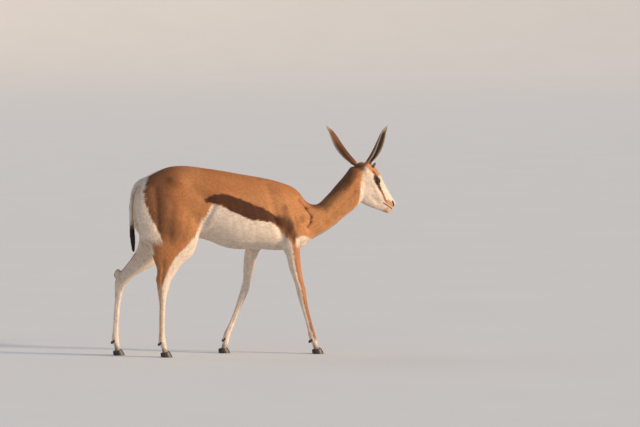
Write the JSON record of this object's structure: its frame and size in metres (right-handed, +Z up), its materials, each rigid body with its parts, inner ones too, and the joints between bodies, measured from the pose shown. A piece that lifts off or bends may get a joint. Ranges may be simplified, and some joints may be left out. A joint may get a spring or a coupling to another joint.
{
  "type": "springbok antelope model",
  "caption": "Life-size still model of a young springbok in a slow walking stance, with long ears, a dark flank band and a white belly and rump.",
  "frame": {"origin": "on the floor, under the middle of the animal's box", "axes": "+X forward to the nose, +Y to the animal's left, +Z up"},
  "size_m": [1.2371, 0.2408, 0.9707],
  "materials": {
    "tan_coat": "short cinnamon hair",
    "white_coat": "short cream-white hair",
    "dark_coat": "long dark brown hair",
    "eye": "wet dark brown",
    "horn": "dark ridged horn",
    "hoof": "black horn, slightly polished"
  },
  "bodies": {
    "root": {"trunk": "tan_coat", "neck": "tan_coat", "head": "white_coat", "ear_right": "white_coat", "ear_left": "white_coat", "tail": "white_coat", "tail_tuft": "dark_coat", "fore_right_forearm": "white_coat", "fore_right_cannon": "white_coat", "fore_right_foot": "white_coat", "fore_left_forearm": "white_coat", "fore_left_cannon": "white_coat", "fore_left_foot": "white_coat", "hind_right_gaskin": "white_coat", "hind_right_cannon": "white_coat", "hind_right_foot": "white_coat", "hind_left_gaskin": "white_coat", "hind_left_cannon": "white_coat", "hind_left_foot": "white_coat", "eye_right": "eye", "horn_right": "horn", "eye_left": "eye", "horn_left": "horn", "fore_right_hoof_inner": "hoof", "fore_right_dewclaw_inner": "hoof", "fore_right_hoof_outer": "hoof", "fore_right_dewclaw_outer": "hoof", "fore_left_hoof_inner": "hoof", "fore_left_dewclaw_inner": "hoof", "fore_left_hoof_outer": "hoof", "fore_left_dewclaw_outer": "hoof", "hind_right_hoof_inner": "hoof", "hind_right_dewclaw_inner": "hoof", "hind_right_hoof_outer": "hoof", "hind_right_dewclaw_outer": "hoof", "hind_left_hoof_inner": "hoof", "hind_left_dewclaw_inner": "hoof", "hind_left_hoof_outer": "hoof", "hind_left_dewclaw_outer": "hoof"}
  },
  "joints": []
}
